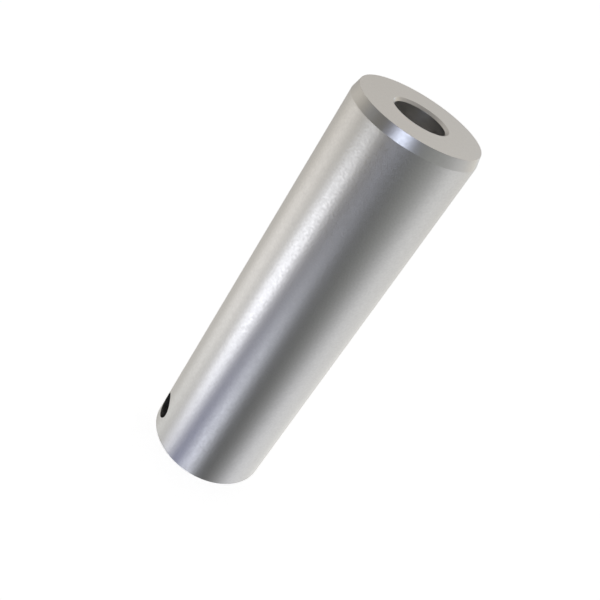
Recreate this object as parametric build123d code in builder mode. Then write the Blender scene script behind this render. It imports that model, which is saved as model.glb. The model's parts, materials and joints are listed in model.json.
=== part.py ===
import os
from math import radians, tan

from build123d import *

# A straight round pin in one piece: turned from bar, drilled from one end, and drilled across at the other.
# It stands on its plain end. The origin is the centre of that end, and +Z runs up the pin's axis.
# Sizes are in millimetres and degrees.

# The turned bar
pin_diameter = 25.0
pin_length = 84.6

# The slim cone at the upper end, which leads the pin into its seat
lead_in_length = 2.0
lead_in_slope = 15.0

# The blind hole down the axis, drilled from the upper end
bore_diameter = 10.0
bore_depth = 30.0
bore_mouth_chamfer = 0.5
drill_point_angle = 118.0

# The hole across the pin, for a split pin or a locking pin
cross_hole_diameter = 5.5
cross_hole_to_end = 5.0

# Sizes that follow from those above
pin_radius = pin_diameter / 2
upper_radius = pin_radius - lead_in_length * tan(radians(lead_in_slope))
lead_in_height = pin_length - lead_in_length
bore_radius = bore_diameter / 2
bore_shoulder_height = pin_length - bore_depth
drill_point_height = bore_shoulder_height - bore_radius / tan(radians(drill_point_angle / 2))

with BuildPart() as pin:
    # Half of the bar's outline, turned about the axis: plain end, ground side, lead-in cone, upper end
    with BuildSketch(Plane.XZ):
        with BuildLine():
            Polyline(
                (0, 0),
                (pin_radius, 0),
                (pin_radius, lead_in_height),
                (upper_radius, pin_length),
                (0, pin_length),
                close=True,
            )
        make_face()
    revolve(axis=Axis.Z)

    # The space that the drill leaves: a straight wall, and the drill's own cone at the bottom
    with BuildSketch(Plane.XZ):
        with BuildLine():
            Polyline(
                (0, pin_length),
                (bore_radius, pin_length),
                (bore_radius, bore_shoulder_height),
                (0, drill_point_height),
                close=True,
            )
        make_face()
    revolve(axis=Axis.Z, mode=Mode.SUBTRACT)

    # The bore's mouth, broken at 45 degrees
    upper_end = pin.faces().sort_by(Axis.Z)[-1]
    bore_mouth = upper_end.edges().sort_by(SortBy.RADIUS)[0]
    chamfer(bore_mouth, length=bore_mouth_chamfer)

    # The cross hole: along X, through the axis and well past both sides
    with BuildSketch(Plane.YZ):
        with Locations((0, cross_hole_to_end)):
            Circle(cross_hole_diameter / 2)
    extrude(amount=pin_diameter, both=True, mode=Mode.SUBTRACT)

pin.part.label = "pin"

os.makedirs("parts", exist_ok=True)
export_step(pin.part, "parts/pin.step")
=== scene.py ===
# %% [markdown]
# # A drilled steel pin
#
# This lesson dresses one machined part: a straight pin, turned from steel bar, ground on its side,
# drilled down its axis from one end and drilled across near the other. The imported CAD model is
# loaded as a fixed frame. It gives the sizes, and everything here is worked out from it, in metres.

# %% The frame
import json
from math import cos, pi, radians, sin, tan

import bpy
import numpy as np
from mathutils import Matrix, Vector


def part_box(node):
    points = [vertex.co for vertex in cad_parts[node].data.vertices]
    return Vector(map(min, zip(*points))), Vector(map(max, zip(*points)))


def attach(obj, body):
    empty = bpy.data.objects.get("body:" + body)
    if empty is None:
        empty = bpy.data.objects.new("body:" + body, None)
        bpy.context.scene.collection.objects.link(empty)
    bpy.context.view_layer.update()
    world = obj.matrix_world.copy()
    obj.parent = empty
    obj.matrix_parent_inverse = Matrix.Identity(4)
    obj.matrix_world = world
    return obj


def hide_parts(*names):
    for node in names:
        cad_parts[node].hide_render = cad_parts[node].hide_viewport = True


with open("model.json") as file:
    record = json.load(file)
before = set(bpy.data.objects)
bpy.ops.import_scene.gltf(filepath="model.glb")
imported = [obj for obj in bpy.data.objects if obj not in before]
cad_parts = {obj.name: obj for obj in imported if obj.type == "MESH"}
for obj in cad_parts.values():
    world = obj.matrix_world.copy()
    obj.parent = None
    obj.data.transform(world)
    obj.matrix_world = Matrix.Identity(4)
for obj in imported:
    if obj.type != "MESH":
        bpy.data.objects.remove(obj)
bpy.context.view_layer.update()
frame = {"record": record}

MM = 0.001

# %% [markdown]
# ## Sizes
#
# The record's mounts are the pin's working surfaces: the ground shank, the bore and the cross hole.
# Their radii, lengths and places are read from there, so the drawn surface and the solid can't drift
# apart. Only what no mount states is named here: the cone's slope, the bevel at the bore's mouth,
# and the drill's point.
#
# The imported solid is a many-sided prism on the screen, so its box can be a few thousandths of a
# millimetre narrower than the true circle. The drawn pin takes the smaller of the two and stays
# inside that box.

# %% Sizes from the frame
mounts = {mount["name"]: mount for mount in frame["record"]["mounts"]}

box_low, box_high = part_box("pin")
pin_top = box_high.z
shank_radius = mounts["shank"]["dims"]["r_mm"] * MM
pin_radius = min(shank_radius, box_high.x, box_high.y, -box_low.x, -box_low.y)
cone_foot = mounts["shank"]["dims"]["length_mm"] * MM
bore_radius = mounts["axial_bore"]["dims"]["r_mm"] * MM
bore_wall = mounts["axial_bore"]["dims"]["length_mm"] * MM
cross_radius = mounts["cross_hole"]["dims"]["r_mm"] * MM
cross_height = mounts["cross_hole"]["pos_m"][2]

CONE_SLOPE = radians(15)
MOUTH_BEVEL = 0.5 * MM
DRILL_POINT = radians(118)

cone_top_radius = pin_radius - (pin_top - cone_foot) * tan(CONE_SLOPE)
bore_top = pin_top - MOUTH_BEVEL
bore_shoulder = bore_top - bore_wall
bore_tip = bore_shoulder - bore_radius / tan(DRILL_POINT / 2)
print(f"pin {2 * pin_radius / MM:.1f} x {pin_top / MM:.1f} mm, bore {2 * bore_radius / MM:.1f} mm wide")
print(f"bore shoulder at {bore_shoulder / MM:.1f} mm, tip at {bore_tip / MM:.1f} mm")

# %% [markdown]
# ## The turned outline
#
# On a lathe the tool's path is a line in two dimensions, radius against height, and the bar's
# turning does the rest. The outline below is that line: from the middle of the plain end, out to the
# rim, up the side, in along the cone and the end face, over the bevel and down into the bore to the
# drill's point.
#
# No real edge is perfectly sharp. A deburred edge is a tiny round, and it is what catches the light,
# so each corner of the outline is replaced by a small arc. One point is held close beside each end
# of an arc. It keeps the smooth shading of the round from spreading over the flat next to it.

# %% Rounding a corner
EDGE_STEPS = 4
HOLD = 0.05 * MM


def rounded_corner(before, corner, after, radius):
    """An arc that touches both lines of a corner.

    The arc starts and ends at radius times tan(half the turn) from the corner, and its centre lies
    one radius to the inner side of the first touching point. One holding point stands a little
    outside each end of the arc.
    """
    before, corner, after = (np.array(p, float) for p in (before, corner, after))
    way_in = (corner - before) / np.linalg.norm(corner - before)
    way_out = (after - corner) / np.linalg.norm(after - corner)
    turn = np.arctan2(way_in[0] * way_out[1] - way_in[1] * way_out[0], way_in @ way_out)
    reach = radius * tan(abs(turn) / 2)
    side = np.sign(turn) * np.array([-way_in[1], way_in[0]])
    centre = corner - reach * way_in + radius * side
    angles = np.linspace(0, abs(turn), EDGE_STEPS + 1)[:, None]
    arc = centre - radius * side * np.cos(angles) + radius * way_in * np.sin(angles)
    return np.vstack([corner - (reach + HOLD) * way_in, arc, corner + (reach + HOLD) * way_out])


# %% The outline, corner by corner
DEBURRED = 0.04 * MM
SOFT = 0.25 * MM

outline_corners = [
    ((0, 0), 0),
    ((pin_radius, 0), DEBURRED),
    ((pin_radius, cone_foot), SOFT),
    ((cone_top_radius, pin_top), DEBURRED),
    ((bore_radius + MOUTH_BEVEL, pin_top), DEBURRED),
    ((bore_radius, bore_top), DEBURRED),
    ((bore_radius, bore_shoulder), SOFT),
    ((0, bore_tip), 0),
]
places = [place for place, radius in outline_corners]
rounds = [
    rounded_corner(places[i - 1], places[i], places[i + 1], outline_corners[i][1])
    for i in range(1, len(places) - 1)
]
print("rounded corners:", len(rounds), "of", len(rounds[0]), "points each")

# %% [markdown]
# ## A window for the cross hole
#
# Turning the outline gives a grid: its rows are heights on the outline, and its columns are angles
# around the axis. A drill that comes in from the side would cut across those squares. A Boolean cut
# leaves long, thin triangles around such a hole, and smooth metal shows each of them as a kink in
# its reflections. So a square window of whole cells is left out of the grid on each side instead,
# and the hole brings its own sheet to fill it.
#
# The window is 30 cells wide and high, about as much as the metal under the hole allows, and its
# rows have the same spacing as its columns.

# %% Rows and columns of the grid
COLUMNS = 256
WINDOW_CELLS = 30
SIDE_STEPS = 36
END_STEPS = 10
BORE_STEPS = 24
POINT_STEPS = 6
CONE_STEPS = 4

column_width = 2 * pi * pin_radius / COLUMNS
window_half = WINDOW_CELLS / 2 * column_width
window_rows = cross_height + np.linspace(-window_half, window_half, WINDOW_CELLS + 1)
print(f"window {2 * window_half / MM:.2f} mm square, from a height of {window_rows[0] / MM:.2f} mm")


# %% The outline with all its rows
def between(start, end, steps):
    """The points strictly between two places, evenly spaced on the straight line that joins them."""
    share = np.linspace(0, 1, steps + 1)[1:-1, None]
    return (1 - share) * np.array(start) + share * np.array(end)


rim, foot, face_edge, mouth, bevel_end, shoulder = rounds
side_rows = np.column_stack([np.full(WINDOW_CELLS + 1, pin_radius), window_rows])
outline = np.vstack([
    between((0, 0), rim[0], END_STEPS), rim,
    side_rows, between(side_rows[-1], foot[0], SIDE_STEPS), foot,
    between(foot[-1], face_edge[0], CONE_STEPS), face_edge,
    between(face_edge[-1], mouth[0], END_STEPS), mouth, bevel_end,
    between(bevel_end[-1], shoulder[0], BORE_STEPS), shoulder,
    between(shoulder[-1], (0, bore_tip), POINT_STEPS),
])
first_window_row = END_STEPS - 1 + len(rim)
assert np.allclose(outline[first_window_row], side_rows[0])
print(f"{len(outline)} rows by {COLUMNS} columns")

# %% [markdown]
# ## The hole's own sheet
#
# The sheet of the cross hole is a grid too. Around the hole it has one point for each cell edge of
# the window. Along the hole it goes from the window's square border, over the round side, to the
# mouth, round the deburred edge, down the wall to the pin's axis, and out again as a mirror image on
# the other side. Its first and last rings are points of the turned grid itself, so the two join with
# no seam.

# %% The window's border
def window_border():
    """Rows and columns of the border of the window on the +X side, anticlockwise from outside."""
    n = WINDOW_CELLS
    steps = np.arange(n)
    rows = np.concatenate([0 * steps, steps, n + 0 * steps, n - steps])
    columns = np.concatenate([steps, n + 0 * steps, n - steps, 0 * steps])
    return first_window_row + rows, (columns - n // 2) % COLUMNS


print("points on the border of a window:", window_border()[0].size)

# %% Half of the sheet
RINGS = 11
WALL_STEPS = 12


def hole_sheet():
    """Half of the cross hole's sheet, from inside the window's border on the +X side to the axis.

    A border point has an arc length s around the side and a height h, both counted from the hole's
    centre. From there a ray runs straight in that unrolled plane to the mouth, at the same angle.
    On the pin, y is radius times sin(s / radius), and x is what the circle leaves. The round at the
    mouth narrows the hole's circle while it turns inwards. Down the wall, a point keeps its y and
    height and only loses x. A holding ring lies close to the round on both sides.
    """
    steps = np.linspace(-window_half, window_half, WINDOW_CELLS + 1)[:-1]
    s = np.concatenate([steps, 0 * steps + window_half, -steps, 0 * steps - window_half])
    h = np.concatenate([0 * steps - window_half, steps, 0 * steps + window_half, -steps])
    angle = np.arctan2(h, s)

    def on_side(arc, rise):
        y = pin_radius * np.sin(arc / pin_radius)
        return np.stack([np.sqrt(pin_radius**2 - y**2), y, cross_height + rise], axis=-1)

    mouth_radius = cross_radius + DEBURRED
    mouth_s = pin_radius * np.arcsin(mouth_radius * np.cos(angle) / pin_radius)
    mouth_h = mouth_radius * np.sin(angle)
    share = np.append(np.linspace(0, 1, RINGS)[:-1], [1 - HOLD / window_half, 1])[1:, None]
    rays = on_side((1 - share) * s + share * mouth_s, (1 - share) * h + share * mouth_h)

    bend = np.linspace(0, pi / 2, EDGE_STEPS + 1)[1:, None]
    edge_radius = mouth_radius - DEBURRED * np.sin(bend)
    edge_y = edge_radius * np.cos(angle)
    edge_x = np.sqrt(pin_radius**2 - edge_y**2) - DEBURRED * (1 - np.cos(bend))
    edge = np.stack([edge_x, edge_y, cross_height + edge_radius * np.sin(angle)], axis=-1)

    depth = np.append([HOLD / pin_radius], np.linspace(0, 1, WALL_STEPS + 1)[1:])[:, None]
    wall_x = (1 - depth) * edge_x[-1]
    wall_y = np.broadcast_to(edge_y[-1], wall_x.shape)
    wall_z = np.broadcast_to(edge[-1, :, 2], wall_x.shape)
    return np.concatenate([rays, edge, np.stack([wall_x, wall_y, wall_z], axis=-1)])


half_sheet = hole_sheet()
print("hole sheet:", half_sheet.shape[0], "rings of", half_sheet.shape[1], "points on each side")

# %% [markdown]
# ## One closed skin
#
# Now the grids become one mesh. Each is a table of point numbers, and a face joins two neighbours of
# one row with the same two of the next. A fan closes the outline at each end, on the axis. Cells
# inside the windows are left out, and so are the points that no face uses.

# %% Faces from tables of point numbers
def sheet_faces(numbers):
    """Quads between neighbours in a table of point numbers whose columns close on themselves."""
    following = np.roll(numbers, -1, axis=1)
    return np.stack([numbers[:-1], following[:-1], following[1:], numbers[1:]], axis=-1)


def without_loose_points(points, quads, triangles):
    """The points that some face uses, and the faces with their new numbers."""
    corners = np.concatenate([quads.ravel(), triangles.ravel()])
    used, renumbered = np.unique(corners, return_inverse=True)
    quads = renumbered[: quads.size].reshape(-1, 4)
    triangles = renumbered[quads.size :].reshape(-1, 3)
    return points[used], quads.tolist() + triangles.tolist()


# %% The turned grid, the hole's sheet and two fans
def skin_mesh():
    """Vertices and faces of the whole pin: the turned grid, the cross hole's sheet and two fans.

    A point of the turned grid is (r cos a, r sin a, z), with r and z from the outline.
    """
    angles = 2 * pi * np.arange(COLUMNS) / COLUMNS
    radii, heights = outline[:, :1], outline[:, 1:]
    turned = np.stack([radii * np.cos(angles), radii * np.sin(angles), heights + 0 * angles], axis=-1)
    numbers = np.arange(turned[..., 0].size).reshape(turned.shape[:2])

    faces = sheet_faces(numbers)
    half = WINDOW_CELLS // 2
    cut = slice(first_window_row, first_window_row + WINDOW_CELLS)
    kept = np.ones(faces.shape[:2], bool)
    for column in (0, COLUMNS // 2):
        kept[cut, np.arange(column - half, column + half) % COLUMNS] = False

    border_rows, border_columns = window_border()
    near = numbers[border_rows, border_columns]
    far = numbers[border_rows, (COLUMNS // 2 - border_columns) % COLUMNS]
    other_half = half_sheet[-2::-1] * (-1, 1, 1)
    hole = np.concatenate([half_sheet, other_half])
    hole_numbers = numbers.size + np.arange(hole[..., 0].size).reshape(hole.shape[:2])
    hole_faces = sheet_faces(np.vstack([near, hole_numbers, far]))

    ends = [(0, 0, 0), (0, 0, bore_tip)]
    points = np.concatenate([turned.reshape(-1, 3), hole.reshape(-1, 3), ends])
    bottom, tip = len(points) - 2, len(points) - 1
    first, last = numbers[0], numbers[-1]
    fans = np.concatenate([
        np.stack([np.full(COLUMNS, bottom), np.roll(first, -1), first], axis=-1),
        np.stack([last, np.roll(last, -1), np.full(COLUMNS, tip)], axis=-1),
    ])
    quads = np.concatenate([faces[kept], hole_faces.reshape(-1, 4)])
    return without_loose_points(points, quads, fans)


# %% The pin as a mesh
vertices, faces = skin_mesh()
mesh = bpy.data.meshes.new("ground_pin")
mesh.from_pydata(vertices.tolist(), [], faces)
mesh.shade_smooth()
mesh.validate()
pin = bpy.data.objects.new("ground_pin", mesh)
bpy.context.scene.collection.objects.link(pin)
print(f"{len(vertices)} points, {len(faces)} faces")

# %% [markdown]
# ## Shader arithmetic
#
# A procedural finish is arithmetic on positions. Written with nodes one by one it is hard to read,
# so a small class lets a node's output be added, multiplied and compared like a number, and each
# operation adds its Math node.

# %% A wire that can be calculated with
class Wire:
    """One output of a node. Arithmetic on it adds a Math node and gives that node's output."""

    def __init__(self, graph, socket):
        self.graph = graph
        self.socket = socket

    def maths(self, operation, *values):
        return self.graph.node("ShaderNodeMath", {"operation": operation}, dict(enumerate(values)))

    def __add__(self, other):
        return self.maths("ADD", self, other)

    def __sub__(self, other):
        return self.maths("SUBTRACT", self, other)

    def __rsub__(self, other):
        return self.maths("SUBTRACT", other, self)

    def __mul__(self, other):
        return self.maths("MULTIPLY", self, other)

    def __pow__(self, other):
        return self.maths("POWER", self, other)

    def __lt__(self, other):
        return self.maths("LESS_THAN", self, other)

    def __gt__(self, other):
        return self.maths("GREATER_THAN", self, other)

    __radd__ = __add__
    __rmul__ = __mul__


# %% A node tree filled through one method
class Graph:
    """A node tree that is emptied and then filled through one method."""

    def __init__(self, owner):
        owner.use_nodes = True
        self.tree = owner.node_tree
        self.tree.nodes.clear()

    def node(self, kind, settings=(), sockets=(), out=0):
        """Adds a node: its settings first, then a value or a wire for each named or numbered input."""
        made = self.tree.nodes.new(kind)
        for name, value in dict(settings).items():
            setattr(made, name, value)
        for name, value in dict(sockets).items():
            if isinstance(value, Wire):
                self.tree.links.new(value.socket, made.inputs[name])
            else:
                made.inputs[name].default_value = value
        return Wire(self, made.outputs[out]) if made.outputs else made

    def mix(self, share, first, second):
        """A colour between two others. A share below 0 counts as 0, and one above 1 as 1."""
        sockets = {"Factor": share, "A": first, "B": second}
        return self.node("ShaderNodeMix", {"data_type": "RGBA"}, sockets, "Result")


# %% [markdown]
# ## Ground steel
#
# The side is ground and left bare: a satin grey with a fine, even grain. A grain is a tiny facet,
# tilted by about a degree, so it sparkles where a lamp's reflection begins or ends and hardly shows
# where the light is even. The grain also goes into the polish and a little into the colour, because
# the brighter facets are the smoother ones. The turned ends have half as much of it, and the holes,
# which are smoother than the side, have none. The bore's wall has painted light: its colour starts in
# the outside's grey and turns bright a few millimetres down. The cross hole has painted shade: its
# colour is darker than the outside's.
#
# One material does all of it and tells the zones apart by where a point lies. A zone reaches a
# hair's breadth past its surface, so that no point of the surface is missed. The grain is noise that
# varies around nought, and its place is counted in grains, which are a little shorter along the pin
# than around it.

# %% The steel's colours, polish and grain
STEEL = (0.62, 0.615, 0.60, 1)
# painted light: the bore's wall turns towards this near-white colour a few millimetres down
BORE_PAINTED_LIGHT = (0.97, 0.962, 0.955, 1)
# painted shade: the cross hole's colour is darker than the outside's steel
CROSS_HOLE_PAINTED_SHADE = (0.45, 0.445, 0.435, 1)
BORE_PAINTED_LIGHT_FADE = 2.3 * MM
GROUND_ROUGHNESS = 0.34
BORE_ROUGHNESS = 0.30
CROSS_HOLE_ROUGHNESS = 0.27
GRAIN = (0.5 * MM, 0.5 * MM, 0.34 * MM)
GRAIN_HEIGHT = 0.009 * MM
GRAIN_SHADE = 0.10
GRAIN_POLISH = 0.12
TURNED_GRAIN = 0.5
SKIN = 0.03 * MM


# %% The steel as one material
def ground_steel():
    """Satin steel with a fine grain in relief, polish and colour, and its own polish in each hole. The
    bore's wall has painted light deeper down, and the cross hole has painted shade.
    """
    material = bpy.data.materials.new("ground_steel")
    g = Graph(material)
    place = g.node("ShaderNodeTexCoord", out="Object")
    x = g.node("ShaderNodeSeparateXYZ", sockets={"Vector": place}, out="X")
    y = g.node("ShaderNodeSeparateXYZ", sockets={"Vector": place}, out="Y")
    z = g.node("ShaderNodeSeparateXYZ", sockets={"Vector": place}, out="Z")

    off_axis = (x * x + y * y) ** 0.5
    above_hole = z - cross_height
    on_side = (off_axis > pin_radius - SKIN) * (z < cone_foot)
    in_bore = (off_axis < bore_radius + SKIN) * (z > bore_tip - SKIN)
    in_hole = (y * y + above_hole * above_hole) ** 0.5 < cross_radius + SKIN
    outside_holes = (1 - in_bore) * (1 - in_hole)

    in_grains = g.node("ShaderNodeVectorMath", {"operation": "DIVIDE"}, {0: place, 1: GRAIN})
    noise = g.node("ShaderNodeTexNoise", sockets={"Vector": in_grains, "Scale": 1.0, "Detail": 0.0})
    grain = (noise - 0.5) * (TURNED_GRAIN + (1 - TURNED_GRAIN) * on_side) * outside_holes
    roughness = (
        GROUND_ROUGHNESS
        - GRAIN_POLISH * grain
        + (BORE_ROUGHNESS - GROUND_ROUGHNESS) * in_bore
        + (CROSS_HOLE_ROUGHNESS - GROUND_ROUGHNESS) * in_hole
    )
    # painted light: the bore's colour brightens with depth below its top
    painted_light_down_bore = (bore_top - z) * (1 / BORE_PAINTED_LIGHT_FADE)
    # painted shade: inside the cross hole the colour turns to the darker one
    metal = g.mix(in_hole, g.mix(in_bore * painted_light_down_bore, STEEL, BORE_PAINTED_LIGHT), CROSS_HOLE_PAINTED_SHADE)
    shade = 1 + GRAIN_SHADE * grain
    colour = g.node("ShaderNodeVectorMath", {"operation": "SCALE"}, {0: metal, "Scale": shade})
    relief = g.node("ShaderNodeBump", sockets={
        "Strength": 1.0, "Distance": GRAIN_HEIGHT, "Height": grain,
    }, out="Normal")
    surface = g.node("ShaderNodeBsdfPrincipled", sockets={
        "Base Color": colour, "Metallic": 1.0, "Roughness": roughness, "Normal": relief,
    })
    g.node("ShaderNodeOutputMaterial", sockets={"Surface": surface})
    return material


# %% Dressing the pin
mesh.materials.append(ground_steel())
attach(pin, "root")
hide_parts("pin")
print("the pin is dressed in", mesh.materials[0].name)

# %% [markdown]
# ## The floor
#
# Such pictures are taken on a light table: a sheet of white acrylic, lit from below. It glows
# evenly, so the ground turns white and the pin has next to no shadow. The lamps under the sheet show
# in the pin's side, because a camera that looks down on a standing pin sees in its side only what
# lies below the horizon. So the sheet glows for the camera, is left out of the metal's reflections,
# and lets the lamps below through.

# %% The light table
TABLE_RADIUS = 2.0
TABLE_GLOW = 0.78
TABLE_PAINT = (0.8, 0.8, 0.8, 1)


def light_table():
    """A disc as a fan of triangles around the origin, part glow and part white paint."""
    angles = 2 * pi * np.arange(COLUMNS) / COLUMNS
    ring = TABLE_RADIUS * np.stack([np.cos(angles), np.sin(angles), 0 * angles], axis=-1)
    count = np.arange(COLUMNS)
    fan = np.stack([0 * count, 1 + count, 1 + np.roll(count, -1)], axis=-1)
    made = bpy.data.meshes.new("floor")
    made.from_pydata(np.vstack([[(0, 0, 0)], ring]).tolist(), [], fan.tolist())
    material = bpy.data.materials.new("lit_acrylic")
    g = Graph(material)
    paint = g.node("ShaderNodeBsdfDiffuse", sockets={"Color": TABLE_PAINT})
    glow = g.node("ShaderNodeEmission", sockets={"Strength": TABLE_GLOW})
    both = g.node("ShaderNodeAddShader", sockets={0: paint, 1: glow})
    g.node("ShaderNodeOutputMaterial", sockets={"Surface": both})
    made.materials.append(material)
    return bpy.data.objects.new("floor", made)


floor = light_table()
bpy.context.scene.collection.objects.link(floor)
floor.visible_glossy = False
floor.visible_shadow = False
print(f"light table {2 * TABLE_RADIUS:.0f} m wide")

# %% [markdown]
# ## Studio light
#
# Metal shows its surroundings, so the light is a room of soft glows. Each has a direction, a width
# and a colour, and fades away from its middle as exp(-2 (1 - cos angle) / width squared). The glows
# were moved, widened and coloured until the stripes on the pin had the place and the tone that they
# have in the photograph.
#
# The room lights the metal alone. The table's white paint has a broad lamp overhead to itself, so
# the ground stays an even white whatever the glows do.

# %% The soft glows
GLOWS = {
    # name: azimuth and elevation of the middle, width, all in degrees, and the colour
    "white strip": (-172, -32, 9, (3.13, 3.24, 3.60)),
    "thin white strip": (-160, -27, 6, (1.99, 2.00, 2.12)),
    "glow around the strips": (-163, -21, 36, (0.30, 0.28, 0.22)),
    "blue glow under the strips": (-148, -52, 16, (0.00, 0.04, 0.32)),
    "low blue panel": (-118, -45, 10, (2.08, 2.16, 2.45)),
    "high blue panel": (-119, 10, 10, (3.37, 3.70, 4.45)),
    "blue rim of the high panel": (-120, 10, 17, (0.28, 0.28, 0.45)),
    "front wall": (-62, 3, 36, (0.38, 0.39, 0.38)),
    "low panel on the right": (-23, -50, 19, (0.64, 0.65, 0.71)),
    "right wall": (-9, -13, 31, (0.79, 0.79, 0.80)),
    "small warm lamp": (31, 7, 18, (0.75, 0.67, 0.52)),
    "small cool lamp": (50, 0, 12, (0.29, 0.49, 0.72)),
    "low glow at the back": (53, -42, 36, (1.20, 1.19, 1.16)),
    "ceiling": (67, 59, 36, (1.64, 1.56, 1.47)),
    "back wall": (132, -9, 36, (0.75, 0.71, 0.65)),
    "low panel on the left": (147, -32, 17, (0.82, 0.81, 0.84)),
    "glow under the left panel": (140, -46, 12, (0.05, 0.09, 0.10)),
    "blue glow on the left": (178, 7, 10, (0.07, 0.10, 0.18)),
}
print("soft glows:", len(GLOWS))


# %% The room
def direction(azimuth, elevation):
    """The unit vector towards an azimuth and elevation in degrees, from +X and from the floor."""
    azimuth, elevation = radians(azimuth), radians(elevation)
    return cos(elevation) * cos(azimuth), cos(elevation) * sin(azimuth), sin(elevation)


def soft_room():
    """The world: the sum of the glows, and plain white where the camera looks past the floor."""
    world = bpy.data.worlds.new("soft_room")
    g = Graph(world)
    look = g.node("ShaderNodeTexCoord", out="Generated")
    total = (0, 0, 0)
    for azimuth, elevation, width, colour in GLOWS.values():
        operands = {0: look, 1: direction(azimuth, elevation)}
        towards = g.node("ShaderNodeVectorMath", {"operation": "DOT_PRODUCT"}, operands, "Value")
        falloff = (towards - 1) * (2 / radians(width) ** 2)
        strength = falloff.maths("EXPONENT", falloff)
        glow = g.node("ShaderNodeVectorMath", {"operation": "SCALE"}, {0: colour, "Scale": strength})
        total = g.node("ShaderNodeVectorMath", {"operation": "ADD"}, {0: total, 1: glow})
    room = g.node("ShaderNodeBackground", sockets={"Color": total})
    white = g.node("ShaderNodeBackground", sockets={"Color": (1, 1, 1, 1)})
    seen = g.node("ShaderNodeLightPath", out="Is Camera Ray")
    both = g.node("ShaderNodeMixShader", sockets={0: seen, 1: room, 2: white})
    g.node("ShaderNodeOutputWorld", sockets={"Surface": both})
    return world


bpy.context.scene.world = soft_room()
bpy.context.scene.world.cycles_visibility.diffuse = False
print("the room is", bpy.context.scene.world.name)

# %% A broad lamp overhead, for the floor alone
OVERHEAD_STRENGTH = 0.96
OVERHEAD_WIDTH = radians(90)

lamp = bpy.data.lights.new("overhead", "SUN")
lamp.energy = OVERHEAD_STRENGTH
lamp.angle = OVERHEAD_WIDTH
overhead = bpy.data.objects.new("overhead", lamp)
overhead.visible_glossy = False
overhead.visible_camera = False
bpy.context.scene.collection.objects.link(overhead)
print(f"lamp overhead, {OVERHEAD_STRENGTH} W per square metre")

# %% [markdown]
# ## The camera
#
# The camera stands where the photograph's did. It looks down on the pin from a little to the left of
# the front, close enough for a strong perspective, and it is rolled, which makes the standing pin
# lean.

# %% The photograph's camera
AIM_HEIGHT = 41.8 * MM
DISTANCE = 161 * MM
AZIMUTH = -112.86
ELEVATION = 30.77
ROLL = 33.46
LENS = 50.0
NEAR_CLIP = 10 * MM

camera = bpy.data.objects.new("camera", bpy.data.cameras.new("camera"))
camera.data.lens = LENS
camera.data.clip_start = NEAR_CLIP
towards_camera = Vector(direction(AZIMUTH, ELEVATION))
aim = Vector((0, 0, AIM_HEIGHT))
level = (-towards_camera).to_track_quat("-Z", "Y").to_matrix().to_4x4()
rolled = level @ Matrix.Rotation(radians(ROLL), 4, "Z")
camera.matrix_world = Matrix.Translation(aim + DISTANCE * towards_camera) @ rolled
bpy.context.scene.collection.objects.link(camera)
bpy.context.scene.camera = camera
bpy.context.scene.view_settings.view_transform = "Standard"
print(f"camera {DISTANCE / MM:.0f} mm from a point on the axis, {AIM_HEIGHT / MM:.1f} mm up")
